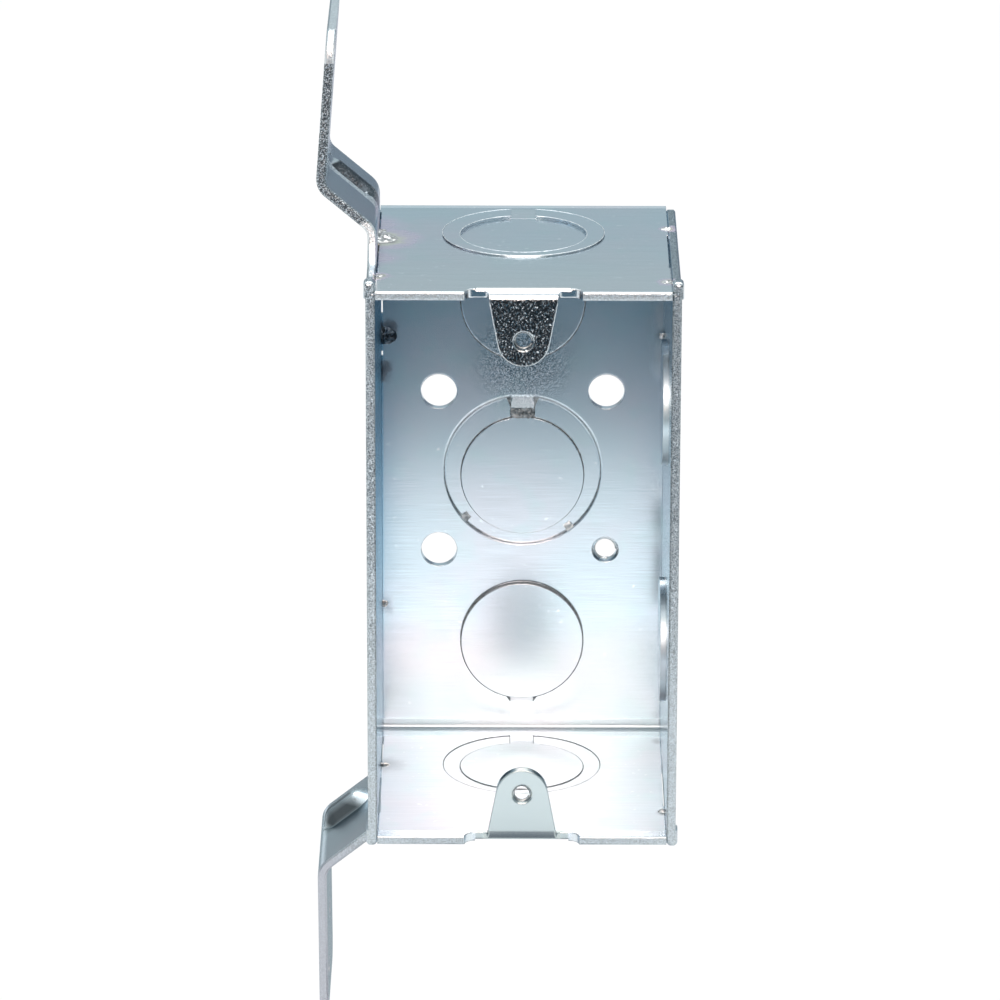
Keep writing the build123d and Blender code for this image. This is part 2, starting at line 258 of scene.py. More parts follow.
# Heat marks round the welds: place and reach in millimetres, and heat at the middle
BURN_WANDER_MM = 3.0
BURNS_MM = (
    ((-24.8, 30.0, 50.8), 8.0, 1.00),
    ((-25.6, 39.0, 50.8), 6.5, 0.45),
    ((-25.6, 19.0, 50.8), 5.5, 0.45),
    ((-24.8, 8.2, 50.8), 2.6, 1.00),
    ((25.4, 36.8, 50.8), 2.2, 1.00),
    ((24.8, 5.2, 50.8), 2.6, 1.00),
)
GREY_BURNS_MM = (
    ((25.2, 51.4, 26.4), 1.8, 1.00),
    ((-24.8, 51.4, -25.0), 2.2, 0.70),
    ((-24.4, 33.0, -49.2), 4.5, 0.70),
    ((25.3, 10.6, -49.2), 2.0, 1.00),
    ((25.3, 45.0, -49.2), 1.8, 0.70),
)
DARK_BURNS_MM = (
    ((-24.4, 51.4, 27.4), 2.6, 1.00),
    ((-25.3, 51.4, 19.6), 2.4, 1.00),
)
# Stops of a heat mark from its rim to its middle: place, colour and share
BURN_STOPS = (
    (0.00, (0.76, 0.66, 0.77, 0.0)),
    (0.25, (0.76, 0.62, 0.76, 0.60)),
    (0.45, (0.80, 0.66, 0.74, 0.65)),
    (0.60, (0.90, 0.82, 0.64, 0.65)),
    (0.72, (0.42, 0.35, 0.31, 0.80)),
    (0.82, (0.40, 0.38, 0.38, 0.50)),
    (1.00, (0.88, 0.88, 0.86, 0.65)),
)
GREY_BURN_STOPS = (
    (0.00, (0.50, 0.51, 0.54, 0.0)),
    (0.30, (0.42, 0.44, 0.47, 0.45)),
    (1.00, (0.18, 0.19, 0.21, 0.85)),
)
DARK_BURN_STOPS = (
    (0.00, (0.40, 0.36, 0.36, 0.0)),
    (0.35, (0.24, 0.17, 0.16, 0.60)),
    (1.00, (0.08, 0.07, 0.08, 0.90)),
)


class Graph:
    """Short way to write a node tree: each call adds a node and links or sets its inputs."""

    def __init__(self, tree):
        self.tree = tree
        tree.nodes.clear()

    def add(self, kind, inputs=None, **settings):
        node = self.tree.nodes.new(kind)
        for name, value in settings.items():
            setattr(node, name, value)
        for key, value in (inputs or {}).items():
            self.fill(node.inputs[key], value)
        return node

    def fill(self, socket, value):
        if isinstance(value, bpy.types.NodeSocket):
            self.tree.links.new(value, socket)
        else:
            socket.default_value = value

    def math(self, operation, first, second=0.0):
        return self.add("ShaderNodeMath", {0: first, 1: second}, operation=operation).outputs[0]

    def vector(self, operation, first, second):
        return self.add("ShaderNodeVectorMath", {0: first, 1: second}, operation=operation).outputs

    def scaled(self, value, low, high, to_low, to_high):
        node = self.add("ShaderNodeMapRange", {0: value, 1: low, 2: high, 3: to_low, 4: to_high})
        return node.outputs[0]

    def fade(self, value, stretch_mm, to_low, to_high):
        """Ramp over a stretch that is given in millimetres."""
        low, high = stretch_mm
        return self.scaled(value, low * MM, high * MM, to_low, to_high)

    def product(self, first, *others):
        for other in others:
            first = self.math("MULTIPLY", first, other)
        return first

    def largest(self, first, *others):
        for other in others:
            first = self.math("MAXIMUM", first, other)
        return first

    def noise(self, place, stretch, detail=2.0):
        """Noise with its own fineness along X, Y and Z, in grains per metre."""
        mapped = self.add("ShaderNodeMapping", {"Vector": place, "Scale": stretch}).outputs[0]
        node = self.add("ShaderNodeTexNoise", {"Vector": mapped, "Scale": 1.0, "Detail": detail})
        return node.outputs["Fac"]

    def facets(self, place, fineness, amount):
        """Random tilt of small crystal facets."""
        cells = self.add("ShaderNodeTexVoronoi", {"Vector": place, "Scale": fineness}).outputs["Color"]
        centred = self.vector("SUBTRACT", cells, (0.5, 0.5, 0.5))[0]
        return self.vector("MULTIPLY", centred, amount)[0]

    def mix(self, share, first, second):
        node = self.add("ShaderNodeMix", data_type="RGBA")
        self.fill(node.inputs[0], share)
        self.fill(node.inputs[6], first)
        self.fill(node.inputs[7], second)
        return node.outputs[2]

    def ramp(self, value, stops):
        node = self.add("ShaderNodeValToRGB", {0: value})
        elements = node.color_ramp.elements
        while len(elements) < len(stops):
            elements.new(1.0)
        for element, (place, color) in zip(elements, stops):
            element.position = place
            element.color = color
        return node.outputs


class Surface:
    """A material's graph, with the place of a surface point and the way that the surface faces there."""

    def __init__(self, graph):
        coords = graph.add("ShaderNodeTexCoord").outputs
        self.graph = graph
        self.place = coords["Object"]
        self.x, self.y, self.z = graph.add("ShaderNodeSeparateXYZ", {0: self.place}).outputs
        self.out_x, self.out_y, self.out_z = graph.add("ShaderNodeSeparateXYZ", {0: coords["Normal"]}).outputs


def new_material(name):
    material = bpy.data.materials.new(name)
    material.use_nodes = True
    return material, Graph(material.node_tree)


def link_object(name, mesh):
    obj = bpy.data.objects.new(name, mesh)
    bpy.context.scene.collection.objects.link(obj)
    return obj


def make_camera():
    data = bpy.data.cameras.new("photo_camera")
    data.lens = CAMERA_LENS
    data.sensor_width = CAMERA_SENSOR
    data.clip_start = 0.01
    camera = bpy.data.objects.new("photo_camera", data)
    bpy.context.scene.collection.objects.link(camera)
    turn = (CAMERA_TARGET - CAMERA_PLACE).to_track_quat("-Z", "Y").to_matrix().to_4x4()
    roll = Matrix.Rotation(CAMERA_ROLL, 4, "Z")
    camera.matrix_world = Matrix.Translation(CAMERA_PLACE) @ turn @ roll
    bpy.context.scene.camera = camera


def make_lamp(name, place, target, width, height, power, color):
    data = bpy.data.lights.new(name, "AREA")
    data.color = color
    data.shape = "RECTANGLE"
    data.size = width
    data.size_y = height
    data.energy = power
    lamp = bpy.data.objects.new(name, data)
    bpy.context.scene.collection.objects.link(lamp)
    turn = (target - Vector(place)).to_track_quat("-Z", "Y").to_matrix().to_4x4()
    lamp.matrix_world = Matrix.Translation(place) @ turn
    lamp.visible_camera = False


def white_material(name):
    """Pale matt surface that is white to the camera and in the metal, and keeps a shadow."""
    material, graph = new_material(name)
    path = graph.add("ShaderNodeLightPath").outputs
    seen = graph.math("MAXIMUM", path["Is Camera Ray"], path["Is Glossy Ray"])
    seen = graph.math("MAXIMUM", seen, path["Is Transmission Ray"])
    share = graph.math("MULTIPLY", seen, FLOOR_WHITENESS)
    pale = graph.add("ShaderNodeBsdfDiffuse", {"Color": FLOOR_COLOR})
    white = graph.add("ShaderNodeEmission", {"Color": (1.0, 1.0, 1.0, 1.0), "Strength": FLOOR_GLOW})
    mix = graph.add("ShaderNodeMixShader", {0: share, 1: pale.outputs[0], 2: white.outputs[0]})
    graph.add("ShaderNodeOutputMaterial", {"Surface": mix.outputs[0]})
    return material


def grey_material(name, color):
    material, graph = new_material(name)
    matt = graph.add("ShaderNodeBsdfDiffuse", {"Color": color})
    graph.add("ShaderNodeOutputMaterial", {"Surface": matt.outputs[0]})
    return material


def make_floor():
    mesh = bpy.data.meshes.new("floor")
    bm = bmesh.new()
    bmesh.ops.create_circle(bm, cap_ends=True, segments=96, radius=FLOOR_RADIUS)
    bm.to_mesh(mesh)
    bm.free()
    floor = link_object("floor", mesh)
    floor.location.z = FLOOR_HEIGHT
    mesh.materials.append(white_material("pale_floor"))


def make_card(name, low, high, color):
    """Upright or level studio card that the camera doesn't see, and that shows only in the metal."""
    mesh = bpy.data.meshes.new(name)
    x0, y0, z0 = low
    x1, y1, z1 = high
    mesh.from_pydata([(x0, y0, z0), (x1, y0, z0), (x1, y1, z1), (x0, y1, z1)], [], [(0, 1, 2, 3)])
    card = link_object(name, mesh)
    mesh.materials.append(grey_material(name, color))
    card.visible_camera = False
    card.visible_shadow = False


def make_studio():
    world = bpy.data.worlds.new("studio")
    world.use_nodes = True
    graph = Graph(world.node_tree)
    light = graph.add("ShaderNodeBackground", {"Color": WORLD_COLOR, "Strength": 1.0})
    graph.add("ShaderNodeOutputWorld", {"Surface": light.outputs[0]})
    bpy.context.scene.world = world
    make_floor()
    for name, low, high, color in CARDS:
        make_card(name, low, high, color)
    for name, place, target, width, height, power, color in LAMPS:
        make_lamp(name, place, target, width, height, power, color)


def burn_amount(surface, spots):
    """How near a point is to a weld: 0 outside the heat marks, and the spot's heat at its middle."""
    graph = surface.graph
    wander = graph.add("ShaderNodeTexNoise", {
        "Vector": surface.place, "Scale": WANDER_FINENESS, "Detail": 3.0}).outputs["Color"]
    shift = graph.vector("SUBTRACT", wander, (0.5, 0.5, 0.5))[0]
    shift = graph.vector("MULTIPLY", shift, (BURN_WANDER_MM * MM,) * 3)[0]
    moved = graph.vector("ADD", surface.place, shift)[0]
    amount = 0.0
    for spot, reach, heat in spots:
        away = graph.vector("DISTANCE", moved, tuple(MM * value for value in spot))["Value"]
        amount = graph.math("MAXIMUM", amount, graph.fade(away, (0.0, reach), heat, 0.0))
    return amount


def heat_marks(surface, indoors):
    """Share and colour of the coloured, the grey and the dark heat marks."""
    graph = surface.graph
    marks = []
    for spots, stops in (
        (BURNS_MM, BURN_STOPS), (GREY_BURNS_MM, GREY_BURN_STOPS), (DARK_BURNS_MM, DARK_BURN_STOPS),
    ):
        ramp = graph.ramp(burn_amount(surface, spots), stops)
        marks.append((graph.product(ramp["Alpha"], indoors), ramp["Color"]))
    return marks


def box_mask(surface, box_mm):
    """1 inside a box given by two corners, fading out just outside it."""
    graph = surface.graph
    mask = 1.0
    for value, low, high in zip((surface.x, surface.y, surface.z), *box_mm):
        above = graph.fade(value, (low - BOX_FADE_MM, low), 0.0, 1.0)
        below = graph.fade(value, (high, high + BOX_FADE_MM), 1.0, 0.0)
        mask = graph.product(above, below, mask)
    return mask


def edge_mask(surface, rim_only):
    """1 on a sheet's sheared edges: on the rim of the folded sheet, or on the borders of a plate."""
    graph = surface.graph
    facing = graph.math("ABSOLUTE", surface.out_y)
    if rim_only:
        at_rim = graph.math("LESS_THAN", surface.y, RIM_Y_MM * MM)
        return graph.product(graph.scaled(facing, 0.70, 0.85, 0.0, 1.0), at_rim)
    across = graph.scaled(facing, 0.50, 0.68, 0.0, 1.0)
    upright = graph.scaled(graph.math("ABSOLUTE", surface.out_z), 0.90, 0.97, 0.0, 1.0)
    at_mouth = graph.math("LESS_THAN", surface.y, MOUTH_Y_MM * MM)
    at_back = graph.math("GREATER_THAN", surface.y, BACK_INNER_MM * MM)
    on_arm = graph.math("GREATER_THAN", graph.math("ABSOLUTE", surface.z), END_INNER_MM * MM)
    border = graph.largest(at_mouth, at_back, on_arm)
    return graph.product(graph.largest(across, upright), border)


def rolled_radius(surface):
    """Radius of the folded sheet's rolled edges: smaller on the back wall, but wide over the middle ring."""
    graph = surface.graph
    high = graph.math("ADD", surface.z, -PATTERN_RISE_MM * MM)
    square = graph.math("ADD", graph.product(surface.x, surface.x), graph.product(high, high))
    from_ring = graph.math("SUBTRACT", graph.math("SQRT", square), RING_RADIUS_MM * MM)
    at_ring = graph.fade(graph.math("ABSOLUTE", from_ring), RING_BAND_MM, 1.0, 0.0)
    ring_radius = graph.fade(surface.z, RING_ROLL_Z_MM, *(MM * radius for radius in RING_ROLLS_MM))
    plain_radius = graph.fade(surface.z, BACK_ROLL_Z_MM, *(MM * radius for radius in BACK_ROLLS_MM))
    wall_radius = graph.fade(surface.y, WALL_ROLL_Y_MM, *(MM * radius for radius in WALL_ROLLS_MM))
    back_radius = graph.largest(graph.product(ring_radius, at_ring), plain_radius)
    on_back = graph.math("GREATER_THAN", surface.y, BACK_Y_MM * MM)
    elsewhere = graph.math("SUBTRACT", 1.0, on_back)
    return graph.largest(graph.product(back_radius, on_back), graph.product(elsewhere, wall_radius))


def zinc_patterns(surface, streak_stretch):
    graph, place = surface.graph, surface.place
    return {
        "streak": graph.noise(place, streak_stretch),
        "grain": graph.noise(place, (GRAIN_FINENESS,) * 3),
        "cloud": graph.noise(place, (CLOUD_FINENESS,) * 3),
        "blotch": graph.noise(place, (BLOTCH_FINENESS,) * 3, 3.0),
        "speck": graph.noise(place, (SPECK_FINENESS,) * 3, 4.0),
        "fleck": graph.noise(place, FLECK_FINENESS, 4.0),
    }


def bead_parts(surface):
    """Masks of the upper bead's lip, painted with a highlight, and its groove, painted with shade, and of the
    lower bead's back and front, painted with shade and with a darker line of shade.
    """
    graph = surface.graph
    box_side = graph.math("GREATER_THAN", surface.out_x, 0.0)
    return {
        "lip": graph.product(box_mask(surface, BEAD_LIP_MM), box_side),
        "groove": graph.product(box_mask(surface, BEAD_GROOVE_MM), box_side),
        "low_bead_shade": box_mask(surface, LOW_BEAD_MM),
        "low_bead_shade_line": graph.product(
            graph.fade(surface.y, LOW_LINE_START_Y_MM, 0.0, 1.0),
            graph.fade(surface.y, LOW_LINE_STOP_Y_MM, 1.0, 0.0),
            graph.fade(surface.z, LOW_LINE_START_Z_MM, 0.0, 1.0),
            graph.fade(surface.z, LOW_LINE_STOP_Z_MM, 1.0, 0.0),
        ),
    }


def edge_parts(surface, beads, rim_only):
    """Masks of the sheared edges, without the lower bead's painted shade, and of their stretches that look
    different, the arms' stretch carrying painted shade.
    """
    graph = surface.graph
    low_bead_shade = graph.largest(beads["low_bead_shade"], beads["low_bead_shade_line"])
    edge = graph.product(edge_mask(surface, rim_only), graph.math("SUBTRACT", 1.0, low_bead_shade))
    return {
        "edge": edge,
        "glint": graph.product(edge, graph.fade(surface.z, LOW_FLANGE_Z_MM, 0.3, 1.0)),
        "arm": graph.largest(
            graph.fade(surface.z, UPPER_ARM_Z_MM, 0.0, 0.8), graph.fade(surface.z, LOW_ARM_Z_MM, 0.2, 0.0)),
        "neck": box_mask(surface, NECK_MM),
        "flange_end": graph.math("GREATER_THAN", surface.z, FLANGE_END_Z_MM * MM),
    }


def wall_parts(surface, bevel, indoors):
    """Masks of the ears, the folds, the inner strip, the bottom, the warm top and the speckled patch."""
    graph = surface.graph
    facing = graph.add("ShaderNodeNewGeometry").outputs["Normal"]
    off_rim = graph.scaled(graph.vector("DOT_PRODUCT", bevel, facing)["Value"], 0.93, 0.995, 0.0, 1.0)
    at_end = graph.fade(graph.math("ABSOLUTE", surface.z), FOLD_Z_MM, 0.0, 1.0)
    speckled_middle = tuple(MM * value for value in SPECKLED_MIDDLE_MM)
    away = graph.vector("DISTANCE", surface.place, speckled_middle)["Value"]
    on_top = graph.math("GREATER_THAN", surface.z, TOP_Z_MM * MM)
    return {
        "upper_ear": graph.product(box_mask(surface, UPPER_EAR_MM), off_rim),
        "lower_ear": box_mask(surface, LOWER_EAR_MM),
        "fold": graph.product(graph.math("GREATER_THAN", surface.y, FOLD_Y_MM * MM), at_end),
        "strip": graph.product(
            box_mask(surface, INNER_STRIP_MM), graph.fade(surface.z, STRIP_Z_MM, 0.25, 1.0)),
        "bottom": box_mask(surface, BOTTOM_WALL_MM),
        "warm": graph.product(graph.fade(surface.y, WARM_Y_MM, 0.7, 0.0), on_top),
        "speckled": graph.product(graph.fade(away, SPECKLED_REACH_MM, 1.0, 0.0), indoors),
    }


def sheet_color(surface, patterns, parts):
    """Colour of plain sheet: cloudy tints, pale specks and dark rolling streaks."""
    graph = surface.graph
    dark_grains = graph.scaled(patterns["grain"], 0.47, 0.55, 0.0, 0.8)
    color = ZINC_BLUE
    for share, paint in (
        (graph.scaled(patterns["cloud"], 0.40, 0.66, 0.0, 1.0), ZINC_PINK),
        (graph.scaled(patterns["blotch"], 0.52, 0.72, 0.0, 0.6), ZINC_TEAL),
        (parts["warm"], ZINC_WARM),
        (graph.scaled(patterns["speck"], 0.67, 0.73, 0.0, 0.7), SPECK_PALE),
        (graph.scaled(patterns["streak"], 0.30, 0.70, 0.0, 0.10), EDGE_DARK),
        (graph.product(parts["speckled"], dark_grains), EDGE_DARK),
        (graph.product(parts["strip"], 0.8), STRIP_BLUE),
    ):
        color = graph.mix(share, color, paint)
    return color


def edge_color(surface, grain, parts, rim_only):
    """Colour of a sheared edge: dark and pale grains, with painted shade that makes it darker high up on a
    plate and on the upper arm, in place of the dark surroundings that these edges mirror.
    """
    graph = surface.graph
    # Painted shade: an edge is darker high up on a plate, where it mirrors the dark surroundings
    shade_high_up = graph.fade(surface.z, DARK_EDGE_Z_MM, 0.0, 0.0 if rim_only else 1.0)
    dark = graph.mix(shade_high_up, EDGE_SOFT, EDGE_DARK)
    color = graph.mix(graph.scaled(grain, 0.36, 0.62, 0.0, 1.0), dark, EDGE_PALE)
    on_right = graph.fade(surface.x, RIGHT_PLATE_X_MM, 0.0, 0.3)
    for share, paint in (
        (parts["arm"], graph.mix(graph.scaled(grain, 0.48, 0.62, 0.0, 1.0), ARM_EDGE_SHADE, EDGE_PALE)),
        (graph.product(parts["neck"], 0.7), SPECK_PALE),
        (graph.product(parts["flange_end"], 0.75), SPECK_PALE),
        (graph.fade(surface.z, LOW_FLANGE_Z_MM, 0.8, 0.0), LOW_EDGE_LILAC),
        (graph.product(on_right, shade_high_up), EDGE_DARK),
    ):
        color = graph.mix(share, color, paint)
    return color


def zinc_color(surface, patterns, parts, marks, rim_only):
    """Colour of a sheet: plain zinc, then its edges, beads and ears, with painted highlight and shade on
    them, then the heat marks.
    """
    graph = surface.graph
    flecks = graph.scaled(patterns["fleck"], 0.52, 0.60, 0.0, 1.0)
    ear_back_painted_light = graph.math("GREATER_THAN", surface.out_y, 0.5)
    color = sheet_color(surface, patterns, parts)
    for share, paint in (
        (graph.product(parts["edge"], 0.95), edge_color(surface, patterns["grain"], parts, rim_only)),
        # Painted shade on the lower bead, with a darker painted line of shade along its front flank
        (graph.product(parts["low_bead_shade"], 0.8), LOW_BEAD_SHADE),
        (graph.product(parts["low_bead_shade_line"], 0.9), LOW_BEAD_DEEP_SHADE),
        # Painted shade on the upper ear's face, and on the lower ear a toned-down front with painted light on
        # its back
        (parts["upper_ear"], graph.mix(flecks, UPPER_EAR_SHADE, UPPER_EAR_FLECK)),
        (parts["lower_ear"], graph.mix(ear_back_painted_light, LOWER_EAR_SHADE, SPECK_PALE)),
        # Painted shade in the upper bead's groove, and a painted highlight on its lip
        (parts["groove"], GROOVE_SHADE),
        (parts["lip"], SPECK_PALE),
        *marks,
    ):
        color = graph.mix(share, color, paint)
    return color


def zinc_roughness(surface, streak, parts, rim_only):
    graph = surface.graph
    rough = graph.scaled(streak, 0.3, 0.7, 0.19, 0.22)
    for part, amount in ADDED_ROUGHNESS.items():
        rough = graph.math("ADD", rough, graph.product(parts[part], amount))
    if rim_only:
        return rough
    cut = graph.scaled(graph.math("ABSOLUTE", surface.out_y), 0.30, 0.60, 0.0, 0.20)
    return graph.math("ADD", rough, graph.product(cut, graph.math("SUBTRACT", 1.0, parts["edge"])))


def zinc_normal(surface, streak, bevel, parts):
    """Rolling streaks over the rolled edges, with crystal facets where a part sparkles."""
    graph = surface.graph
    rolled = graph.add("ShaderNodeBump", {
        "Strength": 0.012, "Distance": 0.02 * MM, "Height": streak, "Normal": bevel}).outputs[0]
    sparkle = 0.0
    for part, amount in SPARKLE.items():
        sparkle = graph.math("ADD", graph.product(parts[part], amount), sparkle)
    tilted = graph.vector("ADD", rolled, graph.facets(surface.place, FACET_FINENESS, sparkle))[0]
    return graph.vector("NORMALIZE", tilted, (0.0, 0.0, 0.0))[0]


def zinc_material(name, streak_stretch, rim_only):
    """Zinc plating: rolling streaks, faint tints, grainy sheared edges and heat marks round the welds, with
    painted highlight and shade on edges, beads and ears.
    """
    material, graph = new_material(name)
    surface = Surface(graph)
    patterns = zinc_patterns(surface, streak_stretch)
    radius = rolled_radius(surface) if rim_only else PLATE_ROLL_MM * MM
    bevel = graph.add("ShaderNodeBevel", {"Radius": radius}, samples=6).outputs[0]
    within = graph.math("GREATER_THAN", surface.x, -SPLASH_END_MM * MM)
    indoors = graph.product(within, graph.math("LESS_THAN", surface.out_y, 0.5))
    marks = heat_marks(surface, indoors)
    beads = bead_parts(surface)
    parts = {"marked": marks[0][0], **beads}
    parts.update(edge_parts(surface, beads, rim_only))
    parts.update(wall_parts(surface, bevel, indoors))
    metal = graph.add("ShaderNodeBsdfPrincipled", {
        "Base Color": zinc_color(surface, patterns, parts, marks, rim_only),
        "Metallic": 1.0,
        "Roughness": zinc_roughness(surface, patterns["streak"], parts, rim_only),
        "Normal": zinc_normal(surface, patterns["streak"], bevel, parts),
        "Specular Tint": graph.mix(parts["strip"], ZINC_GRAZING, STRIP_GRAZING),
    })
    graph.add("ShaderNodeOutputMaterial", {"Surface": metal.outputs[0]})
    return material


def ragged_material(name, dark, pale, roughness, metallic=1.0):
    """Torn or molten metal: two tones in grains."""
    material, graph = new_material(name)
    place = graph.add("ShaderNodeTexCoord").outputs["Object"]
    grain = graph.noise(place, (RAGGED_FINENESS,) * 3, 4.0)
    color = graph.mix(graph.scaled(grain, 0.38, 0.62, 0.0, 1.0), dark, pale)
    bump = graph.add("ShaderNodeBump", {
        "Strength": 0.6, "Distance": 0.08 * MM, "Height": grain}).outputs[0]
    metal = graph.add("ShaderNodeBsdfPrincipled", {
        "Base Color": color, "Metallic": metallic, "Roughness": roughness, "Normal": bump})
    graph.add("ShaderNodeOutputMaterial", {"Surface": metal.outputs[0]})
    return material


def dress_nodes():
    for name, slot, stretch, rim_only in (
        ("wrapper", "folded_sheet", STREAKS_ACROSS, True),
        ("bracket_plate", "bracket_sheet", STREAKS_UP, False),
        ("side_plate", "side_sheet", STREAKS_UP, False),
    ):
        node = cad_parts[name]
        node.data.materials.clear()
        node.data.materials.append(zinc_material(slot, stretch, rim_only))


def finish_piece(name, bm, material, smooth=True):
    """Turn a finished bmesh, drawn in millimetres, into a piece that rides the box."""
    bmesh.ops.scale(bm, vec=(MM,) * 3, verts=bm.verts)
    bmesh.ops.recalc_face_normals(bm, faces=bm.faces)
    mesh = bpy.data.meshes.new(name)
    bm.to_mesh(mesh)
    bm.free()
    mesh.polygons.foreach_set("use_smooth", [smooth] * len(mesh.polygons))
    mesh.materials.append(material)
    piece = link_object(name, mesh)
    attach(piece, "root")


def wall_frame(place, outward, tab_way):
    """Frame of a knockout on its wall's inner face: Z to the outside and Y towards the tab."""
    out, way = Vector(outward), Vector(tab_way)
    return Matrix.Translation(place) @ Matrix((way.cross(out), way, out)).transposed().to_4x4()


def skin_loops(bm, loops):
    """Skin between rings of points, one after the other, with a face over both ends."""
    rings = [[bm.verts.new(point) for point in loop] for loop in loops]
    bm.faces.new(rings[0])
    bm.faces.new(rings[-1])
    for near, far in zip(rings, rings[1:]):
        for first, corner in enumerate(near):
            after = (first + 1) % len(near)
            bm.faces.new((corner, near[after], far[after], far[first]))


def add_rim(bm, wall, shift, radius, section):
    """Sweep a section of (outward, level, up) points round a slug, from one side of its tab to the other."""
    steps = 160
    gap = math.asin(TAB_HALF_MM / radius)
    loops = []
    for step in range(steps + 1):
        turn = math.pi / 2 + gap + (2 * math.pi - 2 * gap) * step / steps
        way = Vector((math.cos(turn), math.sin(turn), 0.0))
        ragged = 0.75 + 0.5 * noise.noise(way * radius * 1.7)
        loops.append([
            wall @ (way * (radius + ragged * out) + Vector((0.0, shift, level + ragged * up)))
            for out, level, up in section
        ])
    skin_loops(bm, loops)


def round_section(level, thick, sides=6):
    turns = [2 * math.pi * side / sides for side in range(sides)]
    return [(thick * math.cos(turn), level, thick * math.sin(turn)) for turn in turns]


def flat_section(level):
    corners = ((-1, -1), (1, -1), (1, 1), (-1, 1))
    return [(SHEAR_FILL_HALF_MM * out, level + FOIL_HALF_MM * up, 0.0) for out, up in corners]


def add_plate(bm, wall, corners, low, high):
    """Flat plate between two levels of a knockout's frame."""
    loops = [[wall @ Vector((x, y, level)) for x, y in corners] for level in (low, high)]
    skin_loops(bm, loops)


def add_slot_filler(bm, wall, near, far, level):
    """Torn metal beside a tab, from one distance to another."""
    half = TAB_HALF_MM + SHEAR_FILL_HALF_MM
    corners = ((-half, near), (half, near), (half, far), (-half, far))
    add_plate(bm, wall, corners, level - FOIL_HALF_MM, level + FOIL_HALF_MM)


def add_single_burrs(bm, wall, thick):
    """Burr at the foot of a slug that is pushed in, and torn metal in its shear gap."""
    add_rim(bm, wall, 0.0, DISC_RADIUS_MM, round_section(0.0, thick))
    add_rim(bm, wall, 0.0, DISC_RADIUS_MM, flat_section(GAP_FILL_LEVEL_MM))
    near, far = DISC_RADIUS_MM - SLOT_OVERLAP_MM, DISC_RADIUS_MM + TAB_ROOT_MM
    add_slot_filler(bm, wall, near, far, SLOT_FILL_LEVEL_MM)


def add_concentric_burrs(bm, wall, level, thick, fill_level):
    """Burrs along a ring and its disc, and torn metal in their shear gaps."""
    add_rim(bm, wall, 0.0, RING_RADIUS_MM, round_section(level, thick))
    add_rim(bm, wall, DISC_SHIFT_MM, DISC_RADIUS_MM, round_section(level, thick))
    add_rim(bm, wall, 0.0, RING_RADIUS_MM, flat_section(fill_level))
    add_rim(bm, wall, DISC_SHIFT_MM, DISC_RADIUS_MM, flat_section(fill_level))
    near, far = DISC_RADIUS_MM + DISC_SHIFT_MM, RING_RADIUS_MM - RING_CLEARANCE_MM
    add_slot_filler(bm, wall, near, far, fill_level)


def make_back_burrs():
    """Dark matt torn metal round the knockouts of the back and the bottom: burrs, and foils in the shear gaps
    that are painted shade of these gaps.
    """
    torn = ragged_material("torn_zinc_and_gap_shade", TORN_AND_SHADE_DARK, TORN_PALE, 0.6, metallic=0.0)
    bm = bmesh.new()
    for way, tab_way in ((1, ABOVE), (-1, BELOW)):
        height = PATTERN_RISE_MM + way * SINGLE_PITCH_MM
        wall = wall_frame((0, BACK_INNER_MM, height), BEHIND, tab_way)
        add_single_burrs(bm, wall, BACK_BURR_MM)
        rim = round_section(SINGLE_PUSH_MM + RIM_BURR_RISE_MM, RIM_BURR_MM)
        add_rim(bm, wall, 0.0, DISC_RADIUS_MM, rim)
    middle = wall_frame((0, BACK_INNER_MM, PATTERN_RISE_MM), BEHIND, ABOVE)
    add_concentric_burrs(bm, middle, *MIDDLE_BURRS_MM)
    bottom = wall_frame((0, END_KNOCKOUT_Y_MM, -END_INNER_MM), BELOW, BEHIND)
    add_concentric_burrs(bm, bottom, *BOTTOM_BURRS_MM)
    finish_piece("shear_burrs", bm, torn)


def make_side_burrs(bright):
    bm = bmesh.new()
    for way in (-1, 1):
        place = (PLATE_INNER_MM, SIDE_KNOCKOUT_Y_MM, way * SIDE_PITCH_MM / 2)
        add_single_burrs(bm, wall_frame(place, RIGHT, BEHIND), SIDE_BURR_MM)
    finish_piece("side_burrs", bm, bright)


def make_top_burrs(bright):
    """Bright burrs round the top's knockout, and a wedge that closes the step on its tab."""
    top = wall_frame((0, END_KNOCKOUT_Y_MM, END_INNER_MM), ABOVE, BEHIND)
    bm = bmesh.new()
    add_concentric_burrs(bm, top, *TOP_BURRS_MM)
    finish_piece("end_burrs", bm, bright)

    bm = bmesh.new()
    half = TAB_HALF_MM + TAB_CAP_OVERLAP_MM
    end = RING_RADIUS_MM - RING_CLEARANCE_MM
    foot, step = TAB_CAP_LEVELS_MM
    side = ((TAB_CAP_START_MM, foot), (TAB_CAP_START_MM, step), (end, TOP_RING_LEVEL_MM), (end, foot))
    skin_loops(bm, [[top @ Vector((x, y, level)) for y, level in side] for x in (-half, half)])
    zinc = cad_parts["wrapper"].data.materials[0]
    finish_piece("tab_cap", bm, zinc, False)


def make_shear_burrs():
    bright = ragged_material("bright_burrs", EDGE_PALE, SPECK_PALE, 0.4)
    make_back_burrs()
    make_side_burrs(bright)
    make_top_burrs(bright)


